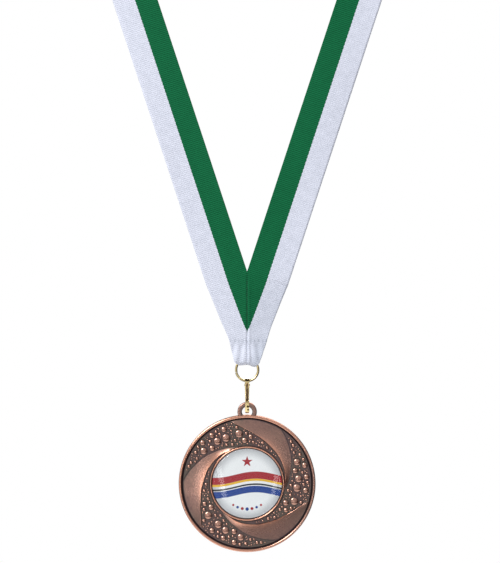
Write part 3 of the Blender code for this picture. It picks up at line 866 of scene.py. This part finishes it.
def make_clip(gold):
    # Spots of painted shade for the strip's holes and hollows.
    painted_hollow_shades = (((0.10, 36.2), (0.36, 0.62)), ((0.27, 28.15), (0.46, 0.44)),
               ((0.38, 26.95), (0.36, 0.34)), ((0.0, 37.75), (1.1, 0.36)))
    strip_gold = gold_material("clip_gold", painted_shade_spots=painted_hollow_shades)
    # The tongue's middle gets painted shade.
    tongue_gold = gold_material("tongue_gold", painted_shade_middle=0.52)
    rounded_copy("clip_strip", "clip_body", 0.18 * MM, strip_gold, "clip", nose_taper)
    rounded_copy("clip_tongue", "clip_gate", 0.07 * MM, tongue_gold, "gate")
    rounded_copy("clip_rivet", "clip_pin", 0.03 * MM, gold, "clip")


# ---- medal relief ----
# Three blades sweep clockwise from the rim to the seat ring. Each has a raised
# ridge on its inner side and dips to a crease on its outer side. The fields
# between them are strewn with droplets. Everything repeats every 120 degrees.

REPEAT = 120
RIDGE_START = 105
CREASE_START = 58
MEDAL_R = 25.0
RIM_FOOT_R = 23.5
RING_FOOT_R = 13.7
RIDGE = ((0, 23.5), (7.5, 21.1), (15, 19.6), (23, 18.3), (30, 17.5), (40, 16.55),
         (49, 15.85), (62, 15.3), (76, 14.75), (90, 14.3), (104, 13.7))
CREASE = ((0, 23.5), (4.6, 22.7), (9.6, 21.8), (16.4, 20.5), (24, 19.3), (32, 18.1),
          (41, 16.75), (51, 15.65), (62, 14.6), (73, 13.7))
FACE_Y = -1.5
FIELD_H = -0.72
RIDGE_H = 0.50
BLADE_LOW_H = -0.06
FIELD_POLISH = 0.17
SECTOR_COLUMNS = 240
BAND_ROWS = 22
BLADE_ROWS = 20
DROP_FULLNESS = 1.06
DROP_SEED = 11
DROP_GAP = 0.28
DROP_SKIRT = 0.16
DROP_ROUNDNESS = 0.92
DROP_TALLEST = 0.66
DROP_MARGIN = 0.35
DROP_TRIES = 4000
DROP_RADII = (14.4, 23.0)
FIELD_DEGREES = (-78, 52)
# Beyond this angle a field lies outside the crease; short of it, inside the next ridge.
FIELD_KNEE = -15
# Each grade's smallest and largest width, and how many one field has at most.
DROP_GRADES = ((2.4, 3.0, 4), (1.7, 2.2, 6), (1.1, 1.6, 16), (0.45, 0.9, 200))


def curve_radius(points, sweep):
    if sweep <= points[0][0]:
        return RIM_FOOT_R
    if sweep >= points[-1][0]:
        return RING_FOOT_R
    return along_points(points, sweep)


def band_spread(share):
    """Rows crowd towards both sides of a field."""
    return 0.5 - 0.5 * cos(pi * share)


def relief_rows(local):
    """(radius, height, polish, brush across, brush along) from ring foot to rim foot."""
    ridge_r = curve_radius(RIDGE, RIDGE_START - local)
    crease_r = max(curve_radius(CREASE, CREASE_START - local), ridge_r)
    width = crease_r - ridge_r
    blade = ease(width / 1.2)
    # How far the blade's face is lit up with polish along its length.
    middle = ease((92 - local) / 34) * ease((local + 5) / 25)
    rows = []
    inner = ridge_r - RING_FOOT_R
    for row in range(BAND_ROWS + 1):
        radius = RING_FOOT_R + inner * band_spread(row / BAND_ROWS)
        from_foot = ease(1 - (radius - RING_FOOT_R) / 0.35)
        to_ridge = ease(1 - (ridge_r - radius) / 0.35) * blade
        polish = FIELD_POLISH - 0.45 * max(from_foot, to_ridge)
        height = 0.30 * RIDGE_H * blade * ease(1 - (ridge_r - radius) / 0.10)
        rows.append((radius, height, polish, radius * 0.2, 0.0))
    for row in range(BLADE_ROWS + 1):
        share = (row / BLADE_ROWS) ** 1.35
        radius = ridge_r + width * share
        rise = (1 - share) ** 1.25
        lip = ease(share * width / 0.12)
        height = blade * (BLADE_LOW_H + (RIDGE_H - BLADE_LOW_H) * rise) * (0.72 + 0.28 * lip)
        glow = exp(-share * width / 1.9) * (0.10 + 0.58 * middle)
        edge = bell(share * width - 0.10, 0.14) * (0.25 + 0.55 * middle)
        groove = ease(1 - (crease_r - radius) / 0.30)
        polish = FIELD_POLISH + blade * (0.17 + glow + edge) - 0.50 * groove * blade
        rows.append((radius, height, polish, share * width, local * 0.3))
    outer = RIM_FOOT_R - crease_r
    for row in range(BAND_ROWS + 1):
        radius = crease_r + outer * band_spread(row / BAND_ROWS)
        from_crease = ease(1 - (radius - crease_r) / 0.22) * blade
        to_rim = ease(1 - (RIM_FOOT_R - radius) / 0.35)
        polish = FIELD_POLISH - 0.45 * max(from_crease, to_rim)
        height = BLADE_LOW_H * from_crease
        rows.append((radius, height, polish, radius * 0.2, 0.0))
    return rows


def seat_rows():
    """From the middle of the seat's floor out to the ring's outer foot."""
    floor, top = -0.9, -0.06
    bead_r, bead_half, bead_h = 13.31, 0.28, 0.26
    rows = [(0.0, floor, 0.1), (12.8, floor, 0.0), (12.98, floor + 0.04, -0.1),
            (13.0, top - 0.3, 0.4)]
    for step in range(9):
        angle = pi * (1 - step / 8)
        rows.append((bead_r + bead_half * cos(angle),
                     top - bead_h + bead_h * sin(angle), 0.45 + 0.5 * sin(angle)))
    rows += [(13.6, top - 0.35, 0.3), (13.64, FIELD_H + 0.03, -0.2)]
    return rows


def rim_rows():
    """From the field's edge over the groove and the rim to the back's middle."""
    groove, back, back_round = -0.93, -3.0, 0.3
    bead_r, bead_half, bead_h = 24.49, 0.50, 0.36
    rows = [(23.55, groove + 0.06, -0.30), (23.62, groove, -0.35), (23.86, groove, -0.35),
            (23.93, groove + 0.06, -0.2), (23.97, -0.42, 0.1)]
    for step in range(13):
        angle = pi * (1 - step / 12)
        rows.append((bead_r + bead_half * cos(angle), -bead_h + bead_h * sin(angle),
                     0.28 + 0.66 * sin(angle) ** 0.8))
    rows += [(MEDAL_R, height, 0.3) for height in (-0.50, -1.0, -2.4)]
    for step in range(1, 7):
        angle = pi / 2 * step / 6
        rows.append((24.7 + back_round * cos(angle), -2.7 - back_round * sin(angle),
                     0.3 + 0.3 * sin(angle)))
    rows += [(radius, back, polish) for radius, polish in (
        (24.3, 0.5), (20.0, 0.50), (14.0, 0.48), (8.0, 0.46), (3.0, 0.46), (0.0, 0.46))]
    return rows


def rim_painted_shade(degrees):
    """Painted shade: the rim is darker towards the lower right, away from the light."""
    return 0.34 * max(0.0, cos(radians(degrees + 18))) ** 2


def face_point(radius, degrees, height):
    """A point of the medal from polar millimetres; height 0 is the rim's top."""
    return CENTRE + spun(radius, radians(degrees), FACE_Y - height) * MM


def add_polar_body(bm, relief):
    """The whole casting's skin as rings of vertices about its middle."""
    for sector in range(3):
        rings = []
        for column in range(SECTOR_COLUMNS + 1):
            local = RIDGE_START - REPEAT * (1 - column / SECTOR_COLUMNS)
            degrees = local + REPEAT * sector
            spokes = [(radius, height, polish, radius, degrees * 0.2)
                      for radius, height, polish in seat_rows()]
            spokes += [(radius, FIELD_H + height, polish, across, along)
                       for radius, height, polish, across, along in relief_rows(local)]
            # The rim's polish is lowered towards the lower right as painted shade.
            spokes += [(radius, height, polish - rim_painted_shade(degrees), radius, degrees * 0.2)
                       for radius, height, polish in rim_rows()]
            ring = []
            for radius, height, polish, across, along in spokes:
                vert = bm.verts.new(face_point(radius, degrees, height))
                vert[relief] = (polish, across, along)
                ring.append(vert)
            rings.append(ring)
        join_rows(bm, rings)


def add_drop(bm, relief, radius, degrees, size):
    """A polished dome with a dark foot."""
    ring_count, segments = 7, 28
    half = size * DROP_FULLNESS / 2
    tall = min(half * DROP_ROUNDNESS, DROP_TALLEST)
    middle = face_point(radius, degrees, FIELD_H)
    rings = []
    for ring in range(ring_count + 1):
        angle = pi / 2 * ring / ring_count
        spread = half * cos(angle) * MM
        lift = (tall * sin(angle) - 0.05) * MM
        polish = -0.45 + 1.12 * ease(sin(angle) * 1.2)
        count = 1 if ring == ring_count else segments
        line = []
        for segment in range(count):
            turn = 2 * pi * segment / segments
            vert = bm.verts.new(middle + spun(spread, turn, -lift))
            vert[relief] = (polish, radius + half * cos(turn), segment * 0.1)
            line.append(vert)
        rings.append(line)
    # The dark foot is a shallow skirt that meets the field.
    skirt = []
    for segment in range(segments):
        turn = 2 * pi * segment / segments
        vert = bm.verts.new(middle + spun((half + DROP_SKIRT) * MM, turn, -0.012 * MM))
        vert[relief] = (-0.36, radius, 0.0)
        skirt.append(vert)
    rings.insert(0, skirt)
    for lower, upper in zip(rings, rings[1:]):
        for segment in range(segments):
            after = (segment + 1) % segments
            if len(upper) == 1:
                bm.faces.new((lower[after], lower[segment], upper[0]))
            else:
                bm.faces.new((lower[after], lower[segment], upper[segment], upper[after]))


EYELET_Z = 26.13
EYELET_R = 3.55
EYELET_HOLE_R = 1.9
EYELET_HALF_T = 1.05
EYELET_ROOT_R = 24.6


def add_eyelet(bm, relief):
    """A round lug with softened edges, from inside the disc's edge upwards."""
    round_over = 0.3
    section = []
    corners = ((EYELET_R, -1), (EYELET_R, 1), (EYELET_HOLE_R, 1), (EYELET_HOLE_R, -1))
    for corner, (radius, y) in enumerate(corners):
        inward = -1 if radius == EYELET_R else 1
        for step in range(4):
            angle = pi / 2 * step / 3
            out, up = sin(angle), cos(angle)
            if corner % 2:
                out, up = up, out
            section.append((radius + inward * round_over * (1 - out),
                            y * (EYELET_HALF_T - round_over * (1 - up))))
    segments = 72
    rings = []
    for segment in range(segments + 1):
        ring = []
        for radius, y in section:
            root = EYELET_Z ** 2 + radius ** 2 - EYELET_ROOT_R ** 2
            sink = asin(root / (2 * EYELET_Z * radius))
            turn = (pi + 2 * sink) * segment / segments - sink
            place = Vector((radius * cos(turn), y, EYELET_Z + radius * sin(turn))) * MM
            vert = bm.verts.new(CENTRE + place)
            flat = abs(y) / EYELET_HALF_T
            inside = ease(1 - (radius - EYELET_HOLE_R) / 0.5)
            vert[relief] = (0.12 + 0.36 * flat - 0.50 * inside, radius * 2, turn * 3)
            ring.append(vert)
        rings.append(ring)
    join_rows(bm, rings, closed=True)
    bm.faces.new(rings[0])
    bm.faces.new(rings[-1][::-1])


def strewn_drops():
    """(radius, degrees, width) of drops strewn over one field, the largest first."""
    chance = random.Random(DROP_SEED)
    placed = []
    drops = []
    for smallest, largest, most in DROP_GRADES:
        added = 0
        for _ in range(DROP_TRIES):
            radius, degrees = chance.uniform(*DROP_RADII), chance.uniform(*FIELD_DEGREES)
            size = chance.uniform(smallest, largest)
            lower, upper = RING_FOOT_R, RIM_FOOT_R
            if degrees > FIELD_KNEE:
                lower = curve_radius(CREASE, CREASE_START - degrees)
            if degrees < FIELD_KNEE:
                upper = curve_radius(RIDGE, RIDGE_START - REPEAT - degrees)
            reach = size / 2 + DROP_MARGIN
            if added == most or not lower + reach < radius < upper - reach:
                continue
            angle = radians(degrees)
            x, z = radius * cos(angle), radius * sin(angle)
            if any(hypot(x - px, z - pz) < (size + other) / 2 + DROP_GAP
                   for px, pz, other in placed):
                continue
            for turn in (-REPEAT, 0, REPEAT):
                angle = radians(degrees + turn)
                placed.append((radius * cos(angle), radius * sin(angle), size))
            drops.append((radius, degrees, size))
            added += 1
    return drops


def make_medal(copper):
    bm = bmesh.new()
    relief = bm.verts.layers.float_vector.new("relief")
    add_polar_body(bm, relief)
    bmesh.ops.remove_doubles(bm, verts=bm.verts, dist=0.000001)
    drops = strewn_drops()
    for turn in (0, REPEAT, 2 * REPEAT):
        for radius, degrees, size in drops:
            add_drop(bm, relief, radius, degrees + turn, size)
    add_eyelet(bm, relief)
    bmesh.ops.recalc_face_normals(bm, faces=bm.faces)
    mesh = finish_mesh(bm, "medal_casting", 50)
    add_piece("medal_casting", mesh, copper, "medal", ["medal_body"])


# ---- insert ----

ADHESIVE_R = 12.2
PRINT_R = 12.7
PRINT_TOP = -1.1
DOME_R = 12.6
DOME_EDGE_H = 0.45
DOME_H = 1.28
DOME_BASE_Y = -1.15


def add_turned(name, profile, segments, sharp, material, node):
    """A turned piece from (radius, y) millimetres, front to back."""
    bm = bmesh.new()
    rings = []
    for radius, y in profile:
        count = 1 if radius == 0 else segments
        ring = []
        for segment in range(count):
            turn = 2 * pi * segment / segments
            ring.append(bm.verts.new(CENTRE + spun(radius, turn, y) * MM))
        rings.append(ring)
    for front, back in zip(rings, rings[1:]):
        for segment in range(segments):
            after = (segment + 1) % segments
            corners = [front[segment % len(front)], front[after % len(front)],
                       back[after % len(back)], back[segment % len(back)]]
            bm.faces.new(list(dict.fromkeys(corners)))
    bmesh.ops.recalc_face_normals(bm, faces=bm.faces)
    add_piece(name, finish_mesh(bm, name, sharp), material, "medal", [node])


INK_RED = (0.38, 0.004, 0.012)
INK_YELLOW = (0.80, 0.45, 0.002)
INK_BLUE = (0.002, 0.045, 0.27)
INK_DARK = (0.004, 0.004, 0.006)
DOT_ROW_R = 9.3


def wave_band(tree, x, z, middle, swing, width):
    """1 inside a wavy band, in millimetres."""
    wave = calc(tree, "SINE", calc(tree, "MULTIPLY_ADD", x, 0.21, 0.9))
    line = calc(tree, "MULTIPLY_ADD", wave, swing, middle)
    off = calc(tree, "ABSOLUTE", minus(tree, z, line))
    return smooth_step(tree, off, width - 0.05, width + 0.05, 1.0, 0.0)


def star_mask(tree, x, z, centre, size):
    """1 inside a five-pointed star."""
    dx = minus(tree, x, centre[0])
    dz = minus(tree, z, centre[1])
    angle = calc(tree, "ARCTAN2", dx, dz)
    reach = calc(tree, "SQRT", squares(tree, dx, dz))
    fold = calc(tree, "PINGPONG", angle, pi / 5)
    # Straight sides between a tip at angle 0 and a notch at 36 degrees.
    notch = 0.40 * size
    side_x, side_y = notch * cos(pi / 5) - size, notch * sin(pi / 5)
    along_x = times(tree, reach, calc(tree, "COSINE", fold))
    along_y = times(tree, reach, calc(tree, "SINE", fold))
    cross = minus(tree, times(tree, along_y, side_x),
                 times(tree, minus(tree, along_x, size), side_y))
    return smooth_step(tree, cross, -0.05, 0.05)


def print_material():
    """Silvery film with plain wavy bands, a star and a row of dots."""
    material, tree, shader = new_material("printed_disc")
    x, _, z = from_centre(tree)
    reach = calc(tree, "SQRT", squares(tree, x, z))
    grain = noise(tree, scaled(tree, object_place(tree), (1.0, 1.0, 14.0)), 900.0, 3.0)
    # Painted shade: the silver darkens towards the edge, under the dome's rolled rim.
    silver_with_edge_shade = blend_colour(tree, smooth_step(tree, reach, 8.7, 12.8), (0.90, 0.90, 0.90),
                          (0.52, 0.52, 0.53))
    colour = blend_colour(tree, smooth_step(tree, grain, 0.3, 0.7, 0.0, 0.12), silver_with_edge_shade,
                          (0.5, 0.5, 0.52))
    bands = ((1.95, 1.15, 1.30, INK_RED), (0.25, 1.15, 0.38, INK_YELLOW),
             (-1.35, 1.15, 0.30, INK_DARK), (-3.15, 1.15, 1.20, INK_BLUE))
    for middle, swing, width, ink in bands:
        colour = blend_colour(tree, wave_band(tree, x, z, middle, swing, width), colour, ink)
    colour = blend_colour(tree, star_mask(tree, x, z, (0.0, 8.0), 2.1), colour, INK_RED)
    for index in range(7):
        angle = radians(-90 + (index - 3) * 11)
        dx = minus(tree, x, DOT_ROW_R * cos(angle))
        dz = minus(tree, z, DOT_ROW_R * sin(angle))
        off = calc(tree, "SQRT", squares(tree, dx, dz))
        size = 0.62 - 0.07 * abs(index - 3)
        dot = smooth_step(tree, off, size - 0.05, size + 0.05, 1.0, 0.0)
        colour = blend_colour(tree, dot, colour, INK_BLUE if index % 2 else INK_RED)
    put_all(tree, shader, {"Base Color": colour, "Metallic": 0.05,
                           "Roughness": smooth_step(tree, grain, 0.2, 0.8, 0.34, 0.46)})
    return material


def adhesive_material():
    material, tree, shader = new_material("adhesive")
    speck = noise(tree, object_place(tree), 1500.0, 3.0)
    colour = blend_colour(tree, speck, (0.70, 0.69, 0.62), (0.85, 0.84, 0.78))
    put_all(tree, shader, {"Base Color": colour,
                           "Roughness": smooth_step(tree, speck, 0.2, 0.8, 0.5, 0.7)})
    add_bump(tree, shader, speck, 0.00003)
    return material


def epoxy_material():
    """Clear resin: see-through, with a mirror-smooth face and faint waves."""
    material, tree = new_material("clear_epoxy")[:2]
    tree.nodes.clear()
    output = new_node(tree, "OutputMaterial")
    mix = new_node(tree, "MixShader")
    clear = new_node(tree, "BsdfTransparent")
    gloss = new_node(tree, "BsdfGlossy")
    facing = new_node(tree, "LayerWeight")
    put(tree, facing.inputs["Blend"], 0.5)
    edge_on = calc(tree, "POWER", facing.outputs["Facing"], 5.0)
    put(tree, clear.inputs["Color"], (0.97, 0.98, 0.98))
    ripple = noise(tree, object_place(tree), 180.0, 1.0)
    put(tree, gloss.inputs["Roughness"], smooth_step(tree, ripple, 0.3, 0.7, 0.03, 0.06))
    put(tree, mix.inputs["Fac"], calc(tree, "MULTIPLY_ADD", edge_on, 0.92, 0.032))
    put(tree, mix.inputs[1], clear.outputs[0])
    put(tree, mix.inputs[2], gloss.outputs[0])
    put(tree, output.inputs["Surface"], mix.outputs[0])
    return material


def make_insert():
    adhesive = [(0, -0.75), (ADHESIVE_R, -0.75), (ADHESIVE_R, -0.65), (0, -0.65)]
    film = [(0, PRINT_TOP), (ADHESIVE_R, PRINT_TOP), (PRINT_R - 0.08, PRINT_TOP),
            (PRINT_R, PRINT_TOP + 0.08), (PRINT_R, -0.80), (0, -0.80)]
    add_turned("insert_adhesive_pad", adhesive, 96, 40, adhesive_material(),
               "insert_adhesive")
    add_turned("insert_print", film, 128, 40, print_material(),
               "printed_insert")
    # A round cap that rolls over into a short steep edge.
    shoulder = 0.6
    flat_r = DOME_R - shoulder
    cap_h = DOME_H - DOME_EDGE_H
    dome = []
    for step in range(25):
        radius = flat_r * step / 24
        dome.append((radius, DOME_BASE_Y - DOME_EDGE_H - cap_h * (1 - 0.86 * (radius / flat_r) ** 2)))
    low = DOME_BASE_Y - DOME_EDGE_H - cap_h * 0.14
    for step in range(1, 9):
        angle = pi / 2 * step / 8
        dome.append((flat_r + shoulder * sin(angle),
                     low + (DOME_BASE_Y - low) * (1 - cos(angle)) * 0.9))
    dome += [(DOME_R, DOME_BASE_Y), (0, DOME_BASE_Y)]
    add_turned("insert_dome", dome, 160, 60, epoxy_material(), "epoxy_dome")


def main():
    make_stage()
    gold = gold_material()
    make_ribbon()
    make_threads()
    # The ring gets the full painted shade on its flanks.
    make_ring(gold_material("ring_gold", painted_side_shade=1.0))
    make_clip(gold)
    make_medal(copper_material())
    make_insert()


main()
